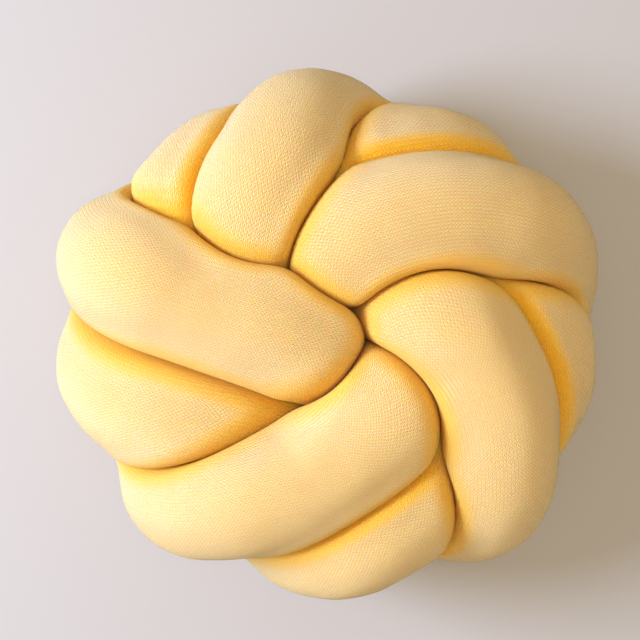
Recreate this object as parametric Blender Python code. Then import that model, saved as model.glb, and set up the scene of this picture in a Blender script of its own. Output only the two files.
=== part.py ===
"""Knot cushion: one stuffed knitted tube, closed on itself and tied in a round, flat knot.

The tube runs through the knot in five turns. Each turn is a long pass and a short pass. A long pass comes
in under the cushion, rises beside the centre and goes out over the top to the rim. There it bends clockwise
and dives, and comes back as a short pass: under the cushion, up through its middle layer, and out over the
top again. The underside of the knot is laid like its top, so a pass's hidden half is its seen half turned
over. Lengths are in metres. Angles are in degrees, anticlockwise from +X as seen from above.
"""

import math
from collections import namedtuple

import bpy
import numpy as np

# The tube and its layers
TUBE_RADIUS = 0.029  # of a round section with the tube's area
WIDEST, NARROWEST = 1.3, 0.9  # times TUBE_RADIUS, between which a squeezed section spreads
LONG_LAYER = 0.042  # height of a long pass's axis over the knot's middle, where it lies on top
SHORT_LAYER = 0.038  # the same for a short pass
HIGHEST_AXIS = 0.044
HALF_HEIGHT = 0.070  # from the knot's middle down to the surface that it rests on
REST_SOFTNESS = 0.003  # over which the rounded underside turns into the flat that it rests on

LONG_MIDDLE_OUT = 0.016  # from the centre to where a long pass changes from the underside to the top

# How the passes press on each other
SPACING = 0.044  # between the axes of two passes that touch
CORE_CROWDING = 0.48  # times SPACING at the centre, where five passes crowd together
CORE_RADIUS, CORE_EDGE = 0.015, 0.070  # the crowding fades between these distances from the centre
SAME_PASS = 0.095  # points closer than this along the tube belong to one pass
EASING, STIFFNESS = 0.05, 0.2  # share of a bend, and of its change along the tube, smoothed in each round
HIGHEST_GIVE = 0.5  # share of its height over HIGHEST_AXIS that a point loses in each round
SEEN_HOLD, HIDDEN_HOLD = 0.16, 0.01  # how firmly the top and the rim, and the rest, keep their places
SEEN_HEIGHTS = (0.008, 0.028)  # the firm hold sets in between these heights
RIM_DISTANCES = (0.100, 0.110)  # and between these distances from the centre

# The soft faces
GAP = 0.0024  # between passes that touch
REACH = 0.130  # no pass presses on another from farther off than this
ROUNDING = 0.009  # of the edge between a free side and a pressed one
SWELL = 0.8  # share of a small hollow beside it that the tube swells into
SWELL_WITHIN = 1.6  # times its radius, past which a neighbour is too far for that
BEND_SHARE = 0.85  # of the way to the middle of its bend, past which a section doesn't reach

# Numbers of points and rounds
STATIONS = 220
SIDES = 20
SPAN_POINTS = 40
EVENING_ROUNDS = 60
EVENING, EVENING_BACK = 0.5, 0.51  # shares of each bend taken out and put back, which keeps the size
SETTLING_ROUNDS = 150
SPREADING_ROUNDS = 5
SPREADING_STEP = (0.9, 1.15)  # between which a section's radius is scaled in each round

YARN_COLOUR = (0.93, 0.70, 0.30, 1.0)
YARN_ROUGHNESS = 0.95

# One row for each turn of the tube, in the order in which it runs. The places are on the top of the knot:
# near the centre, well out, and at the rim, where the axis is at the knot's middle height. A short pass also
# crosses that height on its way up, middle_out from the centre.
LongPass = namedtuple(
    "LongPass", "inner_angle inner_out inner_height outer_angle outer_out rim_angle rim_out"
)
ShortPass = namedtuple("ShortPass", "middle_out outer_angle outer_out rim_angle rim_out")
LONG_PASSES = (
    LongPass(-58, 0.012, 0.015, 161, 0.085, 155, 0.121),
    LongPass(-32, 0.046, 0.036, -113, 0.084, -137, 0.118),
    LongPass(20, 0.056, 0.034, -27, 0.098, -49, 0.121),
    LongPass(98, 0.039, 0.032, 43, 0.098, 18, 0.123),
    LongPass(143, 0.050, 0.028, 111, 0.090, 91, 0.098),
)
SHORT_PASSES = (
    ShortPass(0.080, 77, 0.089, 64, 0.092),
    ShortPass(0.080, 141, 0.102, 132, 0.101),
    ShortPass(0.060, -160, 0.098, -170, 0.119),
    ShortPass(0.080, -75, 0.103, -95, 0.109),
    ShortPass(0.080, 3, 0.105, -13, 0.108),
)


def place(angle, out, height):
    """A point given by its direction and distance from the knot's centre line, and its height."""
    turn = math.radians(angle)
    return out * math.cos(turn), out * math.sin(turn), height


def middle_angle(start_angle, end_angle):
    """The direction halfway along the clockwise turn from one direction to another."""
    return start_angle - (start_angle - end_angle) % 360 / 2


def long_pass_points(long_pass, start_angle):
    middle = middle_angle(start_angle, long_pass.rim_angle)
    return [
        place(2 * middle - long_pass.outer_angle, long_pass.outer_out, -LONG_LAYER),
        place(2 * middle - long_pass.inner_angle, long_pass.inner_out, -long_pass.inner_height),
        place(middle, LONG_MIDDLE_OUT, 0),
        place(long_pass.inner_angle, long_pass.inner_out, long_pass.inner_height),
        place(long_pass.outer_angle, long_pass.outer_out, LONG_LAYER),
        place(long_pass.rim_angle, long_pass.rim_out, 0),
    ]


def short_pass_points(short_pass, start_angle):
    middle = middle_angle(start_angle, short_pass.rim_angle)
    return [
        place(2 * middle - short_pass.outer_angle, short_pass.outer_out, -SHORT_LAYER),
        place(middle, short_pass.middle_out, 0),
        place(short_pass.outer_angle, short_pass.outer_out, SHORT_LAYER),
        place(short_pass.rim_angle, short_pass.rim_out, 0),
    ]


def route():
    """The points that the tube's axis is laid through, once round the whole knot."""
    points = []
    start_angle = SHORT_PASSES[-1].rim_angle
    for long_pass, short_pass in zip(LONG_PASSES, SHORT_PASSES):
        points += long_pass_points(long_pass, start_angle)
        points += short_pass_points(short_pass, long_pass.rim_angle)
        start_angle = short_pass.rim_angle
    return np.array(points)


def after(loop):
    return np.roll(loop, -1, axis=0)


def before(loop):
    return np.roll(loop, 1, axis=0)


def loop_length(loop):
    return np.linalg.norm(after(loop) - loop, axis=1).sum()


def evenly_spaced(loop, count):
    """The closed loop with this many points, at even distances along it."""
    steps = np.linalg.norm(after(loop) - loop, axis=1)
    distances = np.concatenate([[0], np.cumsum(steps)])
    closed = np.vstack([loop, loop[:1]])
    wanted = np.linspace(0, distances[-1], count, endpoint=False)
    return np.stack([np.interp(wanted, distances, closed[:, axis]) for axis in range(3)], axis=1)


def smooth_curve(points):
    """A closed cubic spline through the points."""
    count = len(points)
    spans = np.linalg.norm(after(points) - points, axis=1)[:, None]
    slopes = (after(points) - points) / spans
    system = np.diag(2 * (spans + before(spans))[:, 0])
    rows = np.arange(count)
    system[rows, (rows + 1) % count] += spans[:, 0]
    system[rows, rows - 1] += before(spans)[:, 0]
    bends = np.linalg.solve(system, 6 * (slopes - before(slopes)))
    curve = []
    for start, end, span, bend_in, bend_out in zip(points, after(points), spans, bends, after(bends)):
        done = np.linspace(0, span, SPAN_POINTS, endpoint=False)
        left = span - done
        curve.append(
            (bend_in * left**3 + bend_out * done**3) / (6 * span)
            + (start / span - bend_in * span / 6) * left
            + (end / span - bend_out * span / 6) * done
        )
    return np.concatenate(curve)


def bend_of(loop):
    return (before(loop) + after(loop)) / 2 - loop


def evened(loop):
    """The loop with its tightest bends eased and its size kept."""
    for _ in range(EVENING_ROUNDS):
        loop = loop + bend_of(loop) * EVENING
        loop = loop - bend_of(loop) * EVENING_BACK
    return loop


def fade(values, start, end):
    """Rises smoothly from 0 at start to 1 at end."""
    share = np.clip((values - start) / (end - start), 0, 1)
    return share * share * (3 - 2 * share)


def other_passes(loop):
    """Which points press on which: all those that aren't close to each other along the tube."""
    rows = np.arange(len(loop))
    steps = np.abs(rows[:, None] - rows)
    steps = np.minimum(steps, len(loop) - steps)
    return steps * loop_length(loop) / len(loop) > SAME_PASS


def settled(loop):
    """The axis after passes laid too close together have pushed each other apart."""
    laid = evened(loop)
    loop = laid.copy()
    pressing = other_passes(loop)
    rim = fade(np.hypot(loop[:, 0], loop[:, 1]), *RIM_DISTANCES)
    seen = np.maximum(fade(loop[:, 2], *SEEN_HEIGHTS), rim)
    level_hold = HIDDEN_HOLD + SEEN_HOLD * seen
    hold = np.stack([level_hold, level_hold, np.full(len(loop), HIDDEN_HOLD)], axis=1)
    for _ in range(SETTLING_ROUNDS):
        crowding = fade(np.hypot(loop[:, 0], loop[:, 1]), CORE_RADIUS, CORE_EDGE)
        crowding = CORE_CROWDING + (1 - CORE_CROWDING) * crowding
        wanted = SPACING * (crowding[:, None] + crowding) / 2
        offsets = loop[:, None] - loop
        distances = np.linalg.norm(offsets, axis=2)
        np.fill_diagonal(distances, REACH)
        push = np.where(pressing, np.maximum(wanted - distances, 0), 0) / distances
        pushes = np.maximum((push > 0).sum(axis=1), 1)[:, None]
        loop = loop + (offsets * push[..., None]).sum(axis=1) / (2 * pushes)
        bend = bend_of(loop)
        loop = loop + EASING * bend - STIFFNESS * bend_of(bend)
        loop = loop + hold * (laid - loop)
        excess = np.maximum(np.abs(loop[:, 2]) - HIGHEST_AXIS, 0)
        loop[:, 2] -= HIGHEST_GIVE * excess * np.sign(loop[:, 2])
    return loop


def untwisted_frames(loop):
    """Two directions across the tube at each point, which follow it round without twisting."""
    along = after(loop) - before(loop)
    along /= np.linalg.norm(along, axis=1)[:, None]
    side = np.cross(along[0], (0, 0, 1))
    sides = [side / np.linalg.norm(side)]
    for direction in [*along[1:], along[0]]:
        side = sides[-1] - direction * (direction @ sides[-1])
        sides.append(side / np.linalg.norm(side))
    ups = np.cross(along, sides[:-1])
    twist = math.atan2(sides[-1] @ ups[0], sides[-1] @ sides[0])
    turns = -twist * np.arange(len(loop))[:, None] / len(loop)
    across = np.cos(turns) * sides[:-1] + np.sin(turns) * ups
    return across, np.cross(along, across)


def room_in_bends(loop, directions):
    """How far each ray from the axis goes on the inner side of a bend."""
    spacing = loop_length(loop) / len(loop)
    towards_middle = 2 * bend_of(loop) / spacing**2
    inward = (directions * towards_middle[:, None]).sum(axis=2)
    return BEND_SHARE / np.maximum(inward, BEND_SHARE / REACH)


def room_to_neighbours(loop, directions):
    """How far each ray from the axis goes before it is nearer to another pass than to its own."""
    pressing = other_passes(loop)
    room = room_in_bends(loop, directions)
    for row, (start, rays) in enumerate(zip(loop, directions)):
        offsets = loop[pressing[row]] - start
        distances = np.linalg.norm(offsets, axis=1)
        offsets = offsets[distances < REACH]
        distances = distances[distances < REACH]
        towards = rays @ offsets.T
        limits = (distances**2 - GAP * distances) / (2 * np.maximum(towards, 1e-9))
        room[row] = np.minimum(limits.min(axis=1), room[row])
    return room


def soft_minimum(first, second):
    """The smaller of the two, rounded where they are nearly equal."""
    closeness = np.maximum(ROUNDING - np.abs(first - second), 0) / ROUNDING
    return np.minimum(first, second) - closeness**2 * ROUNDING / 4


def spread_radii(room):
    """The radius of each section before its neighbours press it, so that its area stays the tube's."""
    radii = np.full(len(room), TUBE_RADIUS)
    wedge = math.sin(math.tau / SIDES) / 2
    for _ in range(SPREADING_ROUNDS):
        reach = soft_minimum(room, radii[:, None])
        area = wedge * (reach * np.roll(reach, -1, axis=1)).sum(axis=1)
        radii = radii * np.clip(np.sqrt(math.pi * TUBE_RADIUS**2 / area), *SPREADING_STEP)
        radii = np.clip(radii, NARROWEST * TUBE_RADIUS, WIDEST * TUBE_RADIUS)
        for _ in range(SPREADING_ROUNDS):
            radii = radii + bend_of(radii) / 2
    return radii


def soft_skin(loop):
    """The tube's surface, as a ring of points for each point of its axis."""
    across, up = untwisted_frames(loop)
    angles = math.tau * np.arange(SIDES)[None, :, None] / SIDES
    directions = across[:, None] * np.cos(angles) + up[:, None] * np.sin(angles)
    room = room_to_neighbours(loop, directions)
    radii = spread_radii(room)[:, None]
    hollow = 1 - fade(room / radii, 1, SWELL_WITHIN)
    swollen = radii + SWELL * hollow * np.maximum(room - radii, 0)
    reach = soft_minimum(room, swollen)
    reach = reach + bend_of(reach) / 2
    reach = reach + (np.roll(reach, 1, axis=1) + np.roll(reach, -1, axis=1) - 2 * reach) / 4
    return loop[:, None] + directions * np.minimum(reach, room)[..., None]


def set_down(rings):
    """Stands the knot on the surface, flat where it rests, with its box's middle over the origin."""
    heights = rings[..., 2] + HALF_HEIGHT
    eased = (heights + REST_SOFTNESS) ** 2 / (4 * REST_SOFTNESS)
    heights = np.where(heights > REST_SOFTNESS, heights, np.where(heights > -REST_SOFTNESS, eased, 0))
    level = rings[..., :2]
    middle = (level.min(axis=(0, 1)) + level.max(axis=(0, 1))) / 2
    return np.concatenate([level - middle, heights[..., None]], axis=2)


def closed_tube(name, rings):
    """A mesh object with a face between each two neighbouring points of neighbouring rings."""
    stations, sides = rings.shape[:2]
    numbers = np.arange(stations * sides).reshape(stations, sides)
    next_side = np.roll(numbers, -1, axis=1)
    corners = [numbers, next_side, after(next_side), after(numbers)]
    faces = np.stack(corners, axis=2).reshape(-1, 4)
    mesh = bpy.data.meshes.new(name)
    mesh.from_pydata(rings.reshape(-1, 3).tolist(), [], faces.tolist())
    mesh.shade_smooth()
    tube = bpy.data.objects.new(name, mesh)
    bpy.context.scene.collection.objects.link(tube)
    return tube


def yarn():
    material = bpy.data.materials.new("yellow_yarn")
    material.use_nodes = True
    shader = material.node_tree.nodes["Principled BSDF"]
    shader.inputs["Base Color"].default_value = YARN_COLOUR
    shader.inputs["Roughness"].default_value = YARN_ROUGHNESS
    shader.inputs["Metallic"].default_value = 0.0
    return material


def clear_scene():
    for old in list(bpy.data.objects):
        bpy.data.objects.remove(old, do_unlink=True)


def build():
    clear_scene()
    axis = evenly_spaced(settled(evenly_spaced(smooth_curve(route()), STATIONS)), STATIONS)
    tube = closed_tube("knotted_tube", set_down(soft_skin(axis)))
    tube.data.materials.append(yarn())


if __name__ == "__main__":
    build()
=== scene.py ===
"""Knot cushion: a fine machine-knit tube, stuffed, joined end to end and tied in a round, flat knot.

The tube's shape is worked out as in the part's source, with finer sections and tighter creases. Lengths are
in metres. Angles are in degrees, anticlockwise from +X as seen from above.
"""

import math
from collections import namedtuple

import bpy
import numpy as np
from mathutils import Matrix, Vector, noise

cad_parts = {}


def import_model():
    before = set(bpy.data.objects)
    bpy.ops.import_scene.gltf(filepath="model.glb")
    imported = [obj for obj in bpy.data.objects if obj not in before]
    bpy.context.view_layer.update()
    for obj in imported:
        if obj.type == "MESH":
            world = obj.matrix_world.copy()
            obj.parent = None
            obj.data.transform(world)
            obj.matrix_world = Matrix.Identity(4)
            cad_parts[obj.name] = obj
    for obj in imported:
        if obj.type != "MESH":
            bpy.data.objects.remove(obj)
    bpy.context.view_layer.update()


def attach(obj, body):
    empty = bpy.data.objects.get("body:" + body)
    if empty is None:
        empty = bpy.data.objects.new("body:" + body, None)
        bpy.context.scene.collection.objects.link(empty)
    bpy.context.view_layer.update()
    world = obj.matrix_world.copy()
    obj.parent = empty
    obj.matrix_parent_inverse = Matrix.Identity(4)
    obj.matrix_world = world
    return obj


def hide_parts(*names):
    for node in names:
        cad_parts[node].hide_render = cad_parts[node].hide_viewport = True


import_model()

# The tube and its layers
TUBE_RADIUS = 0.029  # of a round section with the tube's area
WIDEST, NARROWEST = 1.3, 0.9  # times TUBE_RADIUS, between which a squeezed section spreads
LONG_LAYER = 0.042  # height of a long pass's axis over the knot's middle, where it lies on top
SHORT_LAYER = 0.038  # the same for a short pass
HIGHEST_AXIS = 0.044
HALF_HEIGHT = 0.070  # from the knot's middle down to the surface that it rests on
REST_SOFTNESS = 0.003  # over which the rounded underside turns into the flat that it rests on
LONG_MIDDLE_OUT = 0.016  # from the centre to where a long pass changes from the underside to the top

# How the passes press on each other
SPACING = 0.044  # between the axes of two passes that touch
CORE_CROWDING = 0.48  # times SPACING at the centre, where five passes crowd together
CORE_RADIUS, CORE_EDGE = 0.015, 0.070  # the crowding fades between these distances from the centre
SAME_PASS = 0.095  # points closer than this along the tube belong to one pass
EASING, STIFFNESS = 0.05, 0.2  # share of a bend, and of its change along the tube, smoothed in each round
HIGHEST_GIVE = 0.5  # share of its height over HIGHEST_AXIS that a point loses in each round
SEEN_HOLD, HIDDEN_HOLD = 0.16, 0.01  # how firmly the top and the rim, and the rest, keep their places
SEEN_HEIGHTS = (0.008, 0.028)  # the firm hold sets in between these heights
RIM_DISTANCES = (0.100, 0.110)  # and between these distances from the centre

# The soft faces
GAP = 0.0004  # between passes that touch
REACH = 0.130  # no pass presses on another from farther off than this
ROUNDING = 0.0035  # of the edge between a free side and a pressed one
SWELL = 0.8  # share of a small hollow beside it that the tube swells into
SWELL_WITHIN = 1.6  # times its radius, past which a neighbour is too far for that
BEND_SHARE = 0.85  # of the way to the middle of its bend, past which a section doesn't reach
LUMPS = ((0.045, 0.0013), (0.018, 0.0005))  # the stuffing's unevenness: size and height
CREASE_WIDTH = 0.020  # over which a face turns from pressed to free, and the painted crease shade fades out

# Numbers of points and rounds
STATIONS = 220  # along the axis while it settles
FINE_STATIONS = 1120  # along it under the surface
SIDES = 84
SPAN_POINTS = 40
EVENING_ROUNDS = 60
EVENING, EVENING_BACK = 0.5, 0.51  # shares of each bend taken out and put back, which keeps the size
SETTLING_ROUNDS = 150
SPREADING_ROUNDS = 5
SPREADING_STEP = (0.9, 1.15)  # between which a section's radius is scaled in each round
RADIUS_ROUNDS = 130  # of smoothing of the sections' radii along the tube
ALONG_ROUNDS, AROUND_ROUNDS = 5, 4  # of smoothing of the surface along the tube and round it

# One row for each turn of the tube, in the order in which it runs. The places are on the top of the knot:
# near the centre, well out, and at the rim, where the axis is at the knot's middle height. A short pass also
# crosses that height on its way up, middle_out from the centre.
LongPass = namedtuple(
    "LongPass", "inner_angle inner_out inner_height outer_angle outer_out rim_angle rim_out"
)
ShortPass = namedtuple("ShortPass", "middle_out outer_angle outer_out rim_angle rim_out")
LONG_PASSES = (
    LongPass(-58, 0.012, 0.015, 161, 0.085, 155, 0.121),
    LongPass(-32, 0.046, 0.036, -113, 0.084, -137, 0.118),
    LongPass(20, 0.056, 0.034, -27, 0.098, -49, 0.121),
    LongPass(98, 0.039, 0.032, 43, 0.098, 18, 0.123),
    LongPass(143, 0.050, 0.028, 111, 0.090, 91, 0.098),
)
SHORT_PASSES = (
    ShortPass(0.080, 77, 0.089, 64, 0.092),
    ShortPass(0.080, 141, 0.102, 132, 0.101),
    ShortPass(0.060, -160, 0.098, -170, 0.119),
    ShortPass(0.080, -75, 0.103, -95, 0.109),
    ShortPass(0.080, 3, 0.105, -13, 0.108),
)

# The UV map of the whole tube
MAP_LENGTHS = 4
MAP_MARGIN = 0.02

# The knit: its stitches, then their relief. A noise's scale is its features in a metre.
WALES = 105  # round the tube
COURSES = 1820  # along it
ACROSS_WANDER_SCALE, ACROSS_WANDER = 190.0, 0.4  # how far stitches stray, in wales
ALONG_WANDER_SCALE, ALONG_WANDER = 260.0, 0.5  # and in courses
LEG_RELIEF = 0.55  # share of a leg's height that it has only midway between the wale's middle and its edge
GROOVE_RELIEF, GROOVE_SHARPNESS = 0.35, 3.0  # share of the height lost between wales, and how suddenly
UNEVEN_SCALE, UNEVEN_HEIGHTS = 620.0, (0.75, 1.1)  # stitches are thicker and thinner by these
PACKING = (0.08, 0.45)  # between which stitches give way to lines, by how much closer the courses lie
LINE_TOP, LINE_DEPTH, LINE_SHARPNESS = 0.85, 0.8, 2.5
FUZZ_SCALE, FUZZ_HEIGHT = 2600.0, 0.16
STITCH_HEIGHT = 0.0008
NOISE_MIDDLE = (0.3, 0.7)  # most values of a noise lie between these

# The knit's colours, linear, with painted shade between the stitches and in the creases
YARN = (0.97, 0.81, 0.42, 1.0)
YARN_PALE = (0.97, 0.88, 0.54, 1.0)
# painted shade in the gaps between the stitches
YARN_GAP_SHADE = (0.78, 0.44, 0.07, 1.0)
# painted shade and warm bounce light in the creases between passes
YARN_CREASE_SHADE = (1.0, 0.54, 0.0, 1.0)
DYE_SCALE, MOST_PALE = 22.0, 0.5
GAP_SHADE_HEIGHTS = (0.18, 0.8)  # the relief at which the painted shade between stitches is full, and where there is none
CREASE_SHADE_POWER = 0.8  # under 1, the painted crease shade reaches farther out of the crease

# The cloth's finish
FINISH = {
    "Roughness": 0.92,
    "Specular IOR Level": 0.25,
    "Sheen Weight": 0.4,
    "Sheen Roughness": 0.55,
    "Sheen Tint": (1.0, 0.95, 0.85, 1.0),
    "Subsurface Weight": 0.5,
    "Subsurface Radius": (1.0, 0.4, 0.1),
    "Subsurface Scale": 0.012,
}

# The studio
FLOOR_SIZE = 8.0
FLOOR_DROP = 0.0002  # below the surface that the cushion rests on
FLOOR_FINISH = {"Base Color": (0.45, 0.455, 0.465, 1.0), "Roughness": 0.9}
AreaLight = namedtuple("AreaLight", "name place target size power colour")
LIGHTS = (
    AreaLight("window", (-1.5, 0.15, 1.05), (0.0, 0.0, 0.06), 0.8, 41.0, (0.94, 1.0, 1.24)),
    AreaLight("ceiling", (0.0, 0.0, 1.9), (0.0, 0.0, 0.0), 0.5, 15.0, (1.0, 0.76, 0.46)),
)
SURROUNDINGS = (1.0, 0.84, 0.68, 1.0)
SURROUNDINGS_STRENGTH = 0.5

# The camera looks straight down
LENS, SENSOR_WIDTH = 85.0, 36.0  # in millimetres
VIEW_WIDTH, VIEW_HEIGHT = 0.349, 0.085  # the view is this wide at this height
VIEW_MIDDLE = (-0.0044, 0.0065)


def place(angle, out, height):
    """A point given by its direction and distance from the knot's centre line, and its height."""
    turn = math.radians(angle)
    return out * math.cos(turn), out * math.sin(turn), height


def middle_angle(start_angle, end_angle):
    """The direction halfway along the clockwise turn from one direction to another."""
    return start_angle - (start_angle - end_angle) % 360 / 2


def long_pass_points(long_pass, start_angle):
    middle = middle_angle(start_angle, long_pass.rim_angle)
    return [
        place(2 * middle - long_pass.outer_angle, long_pass.outer_out, -LONG_LAYER),
        place(2 * middle - long_pass.inner_angle, long_pass.inner_out, -long_pass.inner_height),
        place(middle, LONG_MIDDLE_OUT, 0),
        place(long_pass.inner_angle, long_pass.inner_out, long_pass.inner_height),
        place(long_pass.outer_angle, long_pass.outer_out, LONG_LAYER),
        place(long_pass.rim_angle, long_pass.rim_out, 0),
    ]


def short_pass_points(short_pass, start_angle):
    middle = middle_angle(start_angle, short_pass.rim_angle)
    return [
        place(2 * middle - short_pass.outer_angle, short_pass.outer_out, -SHORT_LAYER),
        place(middle, short_pass.middle_out, 0),
        place(short_pass.outer_angle, short_pass.outer_out, SHORT_LAYER),
        place(short_pass.rim_angle, short_pass.rim_out, 0),
    ]


def route():
    """The points that the tube's axis is laid through, once round the whole knot."""
    points = []
    start_angle = SHORT_PASSES[-1].rim_angle
    for long_pass, short_pass in zip(LONG_PASSES, SHORT_PASSES):
        points += long_pass_points(long_pass, start_angle)
        points += short_pass_points(short_pass, long_pass.rim_angle)
        start_angle = short_pass.rim_angle
    return np.array(points)


def after(loop):
    return np.roll(loop, -1, axis=0)


def before(loop):
    return np.roll(loop, 1, axis=0)


def loop_length(loop):
    return np.linalg.norm(after(loop) - loop, axis=1).sum()


def evenly_spaced(loop, count):
    """The closed loop with this many points, at even distances along it."""
    steps = np.linalg.norm(after(loop) - loop, axis=1)
    distances = np.concatenate([[0], np.cumsum(steps)])
    closed = np.vstack([loop, loop[:1]])
    wanted = np.linspace(0, distances[-1], count, endpoint=False)
    return np.stack([np.interp(wanted, distances, closed[:, axis]) for axis in range(3)], axis=1)


def smooth_curve(points):
    """A closed cubic spline through the points."""
    count = len(points)
    spans = np.linalg.norm(after(points) - points, axis=1)[:, None]
    slopes = (after(points) - points) / spans
    system = np.diag(2 * (spans + before(spans))[:, 0])
    rows = np.arange(count)
    system[rows, (rows + 1) % count] += spans[:, 0]
    system[rows, rows - 1] += before(spans)[:, 0]
    bends = np.linalg.solve(system, 6 * (slopes - before(slopes)))
    curve = []
    for start, end, span, bend_in, bend_out in zip(points, after(points), spans, bends, after(bends)):
        done = np.linspace(0, span, SPAN_POINTS, endpoint=False)
        left = span - done
        curve.append(
            (bend_in * left**3 + bend_out * done**3) / (6 * span)
            + (start / span - bend_in * span / 6) * left
            + (end / span - bend_out * span / 6) * done
        )
    return np.concatenate(curve)


def bend_of(loop):
    return (before(loop) + after(loop)) / 2 - loop


def evened(loop):
    """The loop with its tightest bends eased and its size kept."""
    for _ in range(EVENING_ROUNDS):
        loop = loop + bend_of(loop) * EVENING
        loop = loop - bend_of(loop) * EVENING_BACK
    return loop


def fade(values, start, end):
    """Rises smoothly from 0 at start to 1 at end."""
    share = np.clip((values - start) / (end - start), 0, 1)
    return share * share * (3 - 2 * share)


def other_passes(loop):
    """Which points press on which: all those that aren't close to each other along the tube."""
    rows = np.arange(len(loop))
    steps = np.abs(rows[:, None] - rows)
    steps = np.minimum(steps, len(loop) - steps)
    return steps * loop_length(loop) / len(loop) > SAME_PASS


def settled(loop):
    """The axis after passes laid too close together have pushed each other apart."""
    laid = evened(loop)
    loop = laid.copy()
    pressing = other_passes(loop)
    rim = fade(np.hypot(loop[:, 0], loop[:, 1]), *RIM_DISTANCES)
    seen = np.maximum(fade(loop[:, 2], *SEEN_HEIGHTS), rim)
    level_hold = HIDDEN_HOLD + SEEN_HOLD * seen
    hold = np.stack([level_hold, level_hold, np.full(len(loop), HIDDEN_HOLD)], axis=1)
    for _ in range(SETTLING_ROUNDS):
        crowding = fade(np.hypot(loop[:, 0], loop[:, 1]), CORE_RADIUS, CORE_EDGE)
        crowding = CORE_CROWDING + (1 - CORE_CROWDING) * crowding
        wanted = SPACING * (crowding[:, None] + crowding) / 2
        offsets = loop[:, None] - loop
        distances = np.linalg.norm(offsets, axis=2)
        np.fill_diagonal(distances, REACH)
        push = np.where(pressing, np.maximum(wanted - distances, 0), 0) / distances
        pushes = np.maximum((push > 0).sum(axis=1), 1)[:, None]
        loop = loop + (offsets * push[..., None]).sum(axis=1) / (2 * pushes)
        bend = bend_of(loop)
        loop = loop + EASING * bend - STIFFNESS * bend_of(bend)
        loop = loop + hold * (laid - loop)
        excess = np.maximum(np.abs(loop[:, 2]) - HIGHEST_AXIS, 0)
        loop[:, 2] -= HIGHEST_GIVE * excess * np.sign(loop[:, 2])
    return loop


def untwisted_frames(loop):
    """Two directions across the tube at each point, which follow it round without twisting."""
    along = after(loop) - before(loop)
    along /= np.linalg.norm(along, axis=1)[:, None]
    side = np.cross(along[0], (0, 0, 1))
    sides = [side / np.linalg.norm(side)]
    for direction in [*along[1:], along[0]]:
        side = sides[-1] - direction * (direction @ sides[-1])
        sides.append(side / np.linalg.norm(side))
    ups = np.cross(along, sides[:-1])
    twist = math.atan2(sides[-1] @ ups[0], sides[-1] @ sides[0])
    turns = -twist * np.arange(len(loop))[:, None] / len(loop)
    across = np.cos(turns) * sides[:-1] + np.sin(turns) * ups
    return across, np.cross(along, across)


def room_in_bends(loop, directions):
    """How far each ray from the axis goes on the inner side of a bend."""
    spacing = loop_length(loop) / len(loop)
    towards_middle = 2 * bend_of(loop) / spacing**2
    inward = (directions * towards_middle[:, None]).sum(axis=2)
    return BEND_SHARE / np.maximum(inward, BEND_SHARE / REACH)


def room_to_neighbours(loop, directions):
    """How far each ray from the axis goes before it is nearer to another pass than to its own."""
    pressing = other_passes(loop)
    room = room_in_bends(loop, directions)
    for row, (start, rays) in enumerate(zip(loop, directions)):
        offsets = loop[pressing[row]] - start
        distances = np.linalg.norm(offsets, axis=1)
        offsets = offsets[distances < REACH]
        distances = distances[distances < REACH]
        towards = rays @ offsets.T
        limits = (distances**2 - GAP * distances) / (2 * np.maximum(towards, 1e-9))
        room[row] = np.minimum(limits.min(axis=1), room[row])
    return room


def soft_minimum(first, second):
    """The smaller of the two, rounded where they are nearly equal."""
    closeness = np.maximum(ROUNDING - np.abs(first - second), 0) / ROUNDING
    return np.minimum(first, second) - closeness**2 * ROUNDING / 4


def spread_radii(room):
    """The radius of each section before its neighbours press it, so that its area stays the tube's."""
    radii = np.full(len(room), TUBE_RADIUS)
    wedge = math.sin(math.tau / SIDES) / 2
    for _ in range(SPREADING_ROUNDS):
        reach = soft_minimum(room, radii[:, None])
        area = wedge * (reach * np.roll(reach, -1, axis=1)).sum(axis=1)
        radii = radii * np.clip(np.sqrt(math.pi * TUBE_RADIUS**2 / area), *SPREADING_STEP)
        radii = np.clip(radii, NARROWEST * TUBE_RADIUS, WIDEST * TUBE_RADIUS)
        for _ in range(RADIUS_ROUNDS):
            radii = radii + bend_of(radii) / 2
    return radii


def soft_skin(loop):
    """The tube's surface, as a ring of points for each point of its axis, and the free room past each."""
    across, up = untwisted_frames(loop)
    angles = math.tau * np.arange(SIDES)[None, :, None] / SIDES
    directions = across[:, None] * np.cos(angles) + up[:, None] * np.sin(angles)
    room = room_to_neighbours(loop, directions)
    radii = spread_radii(room)[:, None]
    hollow = 1 - fade(room / radii, 1, SWELL_WITHIN)
    swollen = radii + SWELL * hollow * np.maximum(room - radii, 0)
    reach = soft_minimum(room, swollen)
    for _ in range(ALONG_ROUNDS):
        reach = reach + bend_of(reach) / 2
    for _ in range(AROUND_ROUNDS):
        reach = reach + (np.roll(reach, 1, axis=1) + np.roll(reach, -1, axis=1) - 2 * reach) / 4
    reach = np.minimum(reach, room)
    return loop[:, None] + directions * reach[..., None], room - reach


def set_down(rings):
    """Stands the knot on the surface, flat where it rests, with its box's middle over the origin."""
    heights = rings[..., 2] + HALF_HEIGHT
    eased = (heights + REST_SOFTNESS) ** 2 / (4 * REST_SOFTNESS)
    heights = np.where(heights > REST_SOFTNESS, heights, np.where(heights > -REST_SOFTNESS, eased, 0))
    level = rings[..., :2]
    middle = (level.min(axis=(0, 1)) + level.max(axis=(0, 1))) / 2
    return np.concatenate([level - middle, heights[..., None]], axis=2)


def stuffing_lumps(points):
    """How far the stuffing pushes each point out or lets it in."""
    heights = np.zeros(len(points))
    for size, height in LUMPS:
        heights += [height * noise.noise(Vector(point) / size) for point in points]
    return heights


def packed_courses(rings):
    """How much closer than usual the courses lie at each point, as on the inner side of a bend."""
    spacing = np.linalg.norm(after(rings) - before(rings), axis=2)
    return np.clip(1 - spacing / spacing.mean(), 0, 1)


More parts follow.
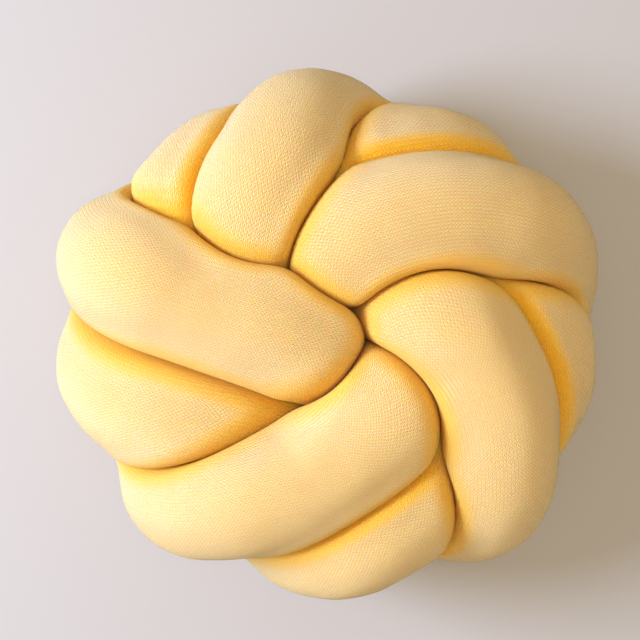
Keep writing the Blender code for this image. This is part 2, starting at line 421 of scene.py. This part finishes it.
def point_values(mesh, name, values):
    attribute = mesh.attributes.new(name, "FLOAT", "POINT")
    attribute.data.foreach_set("value", values.astype(np.float32).ravel())


def face_places():
    """For each face, its station and side, and then how many stations and sides on its corners lie."""
    station = np.repeat(np.arange(FINE_STATIONS), SIDES)[:, None]
    side = np.tile(np.arange(SIDES), FINE_STATIONS)[:, None]
    return station, side, np.array([0, 0, 1, 1]), np.array([0, 1, 1, 0])


def uv_map(mesh, name, across, along):
    layer = mesh.uv_layers.new(name=name)
    values = np.stack([across, along], axis=2).astype(np.float32)
    layer.uv.foreach_set("vector", values.ravel())


def knit_coordinates(mesh):
    """A UV map in stitches: wales round the tube, courses along it."""
    station, side, stations_on, sides_on = face_places()
    wale = (side + sides_on) * WALES / SIDES
    course = (station + stations_on) * COURSES / FINE_STATIONS
    uv_map(mesh, "stitches", wale, course)


def whole_coordinates(mesh):
    """A UV map of the whole tube in one square, cut into lengths that lie side by side."""
    station, side, stations_on, sides_on = face_places()
    per_length = FINE_STATIONS // MAP_LENGTHS
    length, row = np.divmod(station, per_length)
    used = 1 - 2 * MAP_MARGIN
    across = (length + MAP_MARGIN + used * (side + sides_on) / SIDES) / MAP_LENGTHS
    along = MAP_MARGIN + used * (row + stations_on) / per_length
    uv_map(mesh, "OFBake", across, along)


def tube_mesh(name, rings):
    numbers = np.arange(FINE_STATIONS * SIDES).reshape(FINE_STATIONS, SIDES)
    next_side = np.roll(numbers, -1, axis=1)
    corners = [numbers, next_side, after(next_side), after(numbers)]
    faces = np.stack(corners, axis=2).reshape(-1, 4)
    mesh = bpy.data.meshes.new(name)
    mesh.from_pydata(rings.reshape(-1, 3).tolist(), [], faces.tolist())
    mesh.shade_smooth()
    knit_coordinates(mesh)
    whole_coordinates(mesh)
    return mesh


class Nodes:
    """Short names for the shader nodes that a material is made of."""

    def __init__(self, material):
        material.use_nodes = True
        self.tree = material.node_tree
        self.shader = self.tree.nodes["Principled BSDF"]

    def add(self, kind, **settings):
        node = self.tree.nodes.new(kind)
        for name, value in settings.items():
            setattr(node, name, value)
        return node

    def put(self, socket, value):
        if hasattr(value, "is_output"):
            self.tree.links.new(value, socket)
        else:
            socket.default_value = value

    def attribute(self, name):
        return self.add("ShaderNodeAttribute", attribute_name=name).outputs["Fac"]

    def math(self, operation, *values):
        node = self.add("ShaderNodeMath", operation=operation)
        for socket, value in zip(node.inputs, values):
            self.put(socket, value)
        return node.outputs[0]

    def plus(self, *values):
        return self.math("ADD", *values)

    def minus(self, *values):
        return self.math("SUBTRACT", *values)

    def times(self, *values):
        return self.math("MULTIPLY", *values)

    def power(self, *values):
        return self.math("POWER", *values)

    def mix(self, share, first, second):
        node = self.add("ShaderNodeMix", data_type="RGBA")
        self.put(node.inputs["Factor"], share)
        self.put(node.inputs["A"], first)
        self.put(node.inputs["B"], second)
        return node.outputs["Result"]

    def noise(self, vector, scale, detail=2.0):
        node = self.add("ShaderNodeTexNoise")
        self.put(node.inputs["Vector"], vector)
        node.inputs["Scale"].default_value = scale
        node.inputs["Detail"].default_value = detail
        return node.outputs["Fac"]

    def range(self, value, low, high, to_low=0.0, to_high=1.0):
        node = self.add("ShaderNodeMapRange")
        for socket, put in zip(node.inputs, (value, low, high, to_low, to_high)):
            self.put(socket, put)
        return node.outputs[0]


def stitch_places(n, place):
    """How far each point is from the middle of its wale, 1 between wales, and its course."""
    split = n.add("ShaderNodeSeparateXYZ")
    n.put(split.inputs[0], n.add("ShaderNodeUVMap", uv_map="stitches").outputs["UV"])
    across = n.times(n.minus(n.noise(place, ACROSS_WANDER_SCALE), 0.5), ACROSS_WANDER)
    along = n.times(n.minus(n.noise(place, ALONG_WANDER_SCALE), 0.5), ALONG_WANDER)
    wale = n.plus(split.outputs["X"], across)
    course = n.plus(split.outputs["Y"], along)
    off = n.times(n.math("ABSOLUTE", n.minus(n.math("FRACT", wale), 0.5)), 2.0)
    return off, course


def knit_relief(n, place):
    """The stitches' height, from about 0 between them to about 1 on top."""
    off, course = stitch_places(n, place)
    # Each stitch is a V, whose legs rise by a whole course from the wale's middle to its edge.
    leg = n.math("FRACT", n.minus(course, off))
    leg_round = n.math("SINE", n.times(leg, math.pi))
    leg_side = n.math("SINE", n.times(off, math.pi))
    groove = n.minus(1.0, n.power(off, GROOVE_SHARPNESS))
    height = n.times(leg_round, n.plus(n.times(leg_side, LEG_RELIEF), 1 - LEG_RELIEF))
    height = n.times(height, n.plus(n.times(groove, GROOVE_RELIEF), 1 - GROOVE_RELIEF))
    uneven = n.range(n.noise(place, UNEVEN_SCALE, 1.0), *NOISE_MIDDLE, *UNEVEN_HEIGHTS)
    height = n.times(height, uneven)
    # Where courses are packed, the lines between the wales show more than the stitches.
    packed = n.range(n.attribute("packed"), *PACKING)
    line = n.minus(LINE_TOP, n.times(n.power(off, LINE_SHARPNESS), LINE_DEPTH))
    height = n.plus(height, n.times(packed, n.minus(line, height)))
    return n.plus(height, n.times(n.noise(place, FUZZ_SCALE, 3.0), FUZZ_HEIGHT))


def knit_colour(n, place, relief):
    """Slightly uneven dye, with painted shade between the stitches and painted shade and bounce light in the
    creases.
    """
    dye = n.range(n.noise(place, DYE_SCALE), *NOISE_MIDDLE, 0.0, MOST_PALE)
    colour = n.mix(dye, YARN, YARN_PALE)
    # Painted shade in the low gaps between the stitches.
    colour = n.mix(n.range(relief, *GAP_SHADE_HEIGHTS, 1.0, 0.0), colour, YARN_GAP_SHADE)
    # Painted shade and warm bounce light in the creases, where the passes press together.
    return n.mix(n.power(n.attribute("crease"), CREASE_SHADE_POWER), colour, YARN_CREASE_SHADE)


def knit_material():
    material = bpy.data.materials.new("fine_yellow_knit")
    n = Nodes(material)
    place = n.add("ShaderNodeTexCoord").outputs["Object"]
    relief = knit_relief(n, place)
    bump = n.add("ShaderNodeBump")
    bump.inputs["Strength"].default_value = 1.0
    bump.inputs["Distance"].default_value = STITCH_HEIGHT
    n.put(bump.inputs["Height"], relief)
    n.put(n.shader.inputs["Normal"], bump.outputs["Normal"])
    n.put(n.shader.inputs["Base Color"], knit_colour(n, place, relief))
    for socket, value in FINISH.items():
        n.shader.inputs[socket].default_value = value
    return material


def floor_material():
    material = bpy.data.materials.new("pale_floor")
    n = Nodes(material)
    for socket, value in FLOOR_FINISH.items():
        n.shader.inputs[socket].default_value = value
    return material


def knotted_tube():
    laid = evenly_spaced(smooth_curve(route()), STATIONS)
    axis = evenly_spaced(settled(laid), STATIONS)
    axis = evenly_spaced(smooth_curve(axis), FINE_STATIONS)
    rings, slack = soft_skin(axis)
    # How pressed each point is: it keeps the lumps out of the creases and sets the painted crease shade.
    crease = 1 - fade(slack, 0, CREASE_WIDTH)
    outward = rings - axis[:, None]
    outward /= np.linalg.norm(outward, axis=2)[..., None]
    lumps = stuffing_lumps(rings.reshape(-1, 3)).reshape(crease.shape)
    rings = set_down(rings + outward * (lumps * (1 - crease))[..., None])
    mesh = tube_mesh("knitted_tube", rings)
    point_values(mesh, "crease", crease)
    point_values(mesh, "packed", packed_courses(rings))
    mesh.materials.append(knit_material())
    tube = bpy.data.objects.new("knitted_tube", mesh)
    bpy.context.scene.collection.objects.link(tube)
    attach(tube, "root")
    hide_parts("knotted_tube")


def floor():
    bpy.ops.mesh.primitive_plane_add(size=FLOOR_SIZE, location=(0, 0, -FLOOR_DROP))
    plane = bpy.context.object
    plane.name = "floor"
    plane.data.materials.append(floor_material())


def area_light(settings):
    data = bpy.data.lights.new(settings.name, "AREA")
    data.shape = "DISK"
    data.size = settings.size
    data.energy = settings.power
    data.color = settings.colour
    light = bpy.data.objects.new(settings.name, data)
    towards = Vector(settings.target) - Vector(settings.place)
    light.location = settings.place
    light.rotation_euler = towards.to_track_quat("-Z", "Y").to_euler()
    bpy.context.scene.collection.objects.link(light)


def studio():
    for settings in LIGHTS:
        area_light(settings)
    world = bpy.context.scene.world or bpy.data.worlds.new("studio")
    bpy.context.scene.world = world
    world.use_nodes = True
    background = world.node_tree.nodes["Background"]
    background.inputs["Color"].default_value = SURROUNDINGS
    background.inputs["Strength"].default_value = SURROUNDINGS_STRENGTH
    bpy.context.scene.view_settings.view_transform = "Standard"


def camera():
    data = bpy.data.cameras.new("camera")
    data.lens = LENS
    data.sensor_width = SENSOR_WIDTH
    distance = VIEW_WIDTH * LENS / SENSOR_WIDTH
    eye = bpy.data.objects.new("camera", data)
    eye.location = (*VIEW_MIDDLE, VIEW_HEIGHT + distance)
    bpy.context.scene.collection.objects.link(eye)
    bpy.context.scene.camera = eye


knotted_tube()
floor()
studio()
camera()
